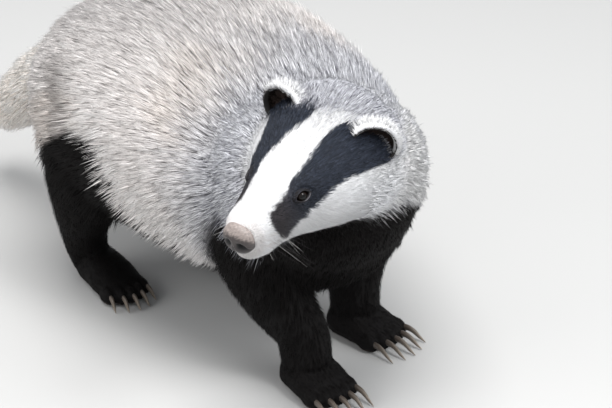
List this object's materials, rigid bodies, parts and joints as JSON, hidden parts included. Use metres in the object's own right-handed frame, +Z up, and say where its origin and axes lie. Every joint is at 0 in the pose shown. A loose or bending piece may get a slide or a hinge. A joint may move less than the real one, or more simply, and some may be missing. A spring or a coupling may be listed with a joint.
{
  "type": "european badger",
  "caption": "Still model of a standing european badger with its head lowered and turned, striped face, grizzled coat and clawed feet.",
  "frame": {"origin": "on the floor, under the middle of the animal's box", "axes": "+X along the trunk towards the chest, +Y towards the animal's left, +Z up"},
  "size_m": [0.6676, 0.3628, 0.3206],
  "materials": {
    "grizzled": "coarse grizzled hair",
    "white": "short white hair with black stripes",
    "black": "short black hair",
    "buff": "long cream hair",
    "eye": "wet gloss",
    "leather": "damp nose leather"
  },
  "bodies": {
    "root": {"ear_left": "black", "ear_right": "black", "eye_left": "eye", "eye_right": "eye", "head": "white", "leg_front_left": "black", "leg_front_right": "black", "leg_hind_left": "black", "leg_hind_right": "black", "neck": "grizzled", "nose": "leather", "paw_front_left": "black", "paw_front_right": "black", "paw_hind_left": "black", "paw_hind_right": "black", "tail": "buff", "torso": "grizzled"}
  },
  "joints": []
}
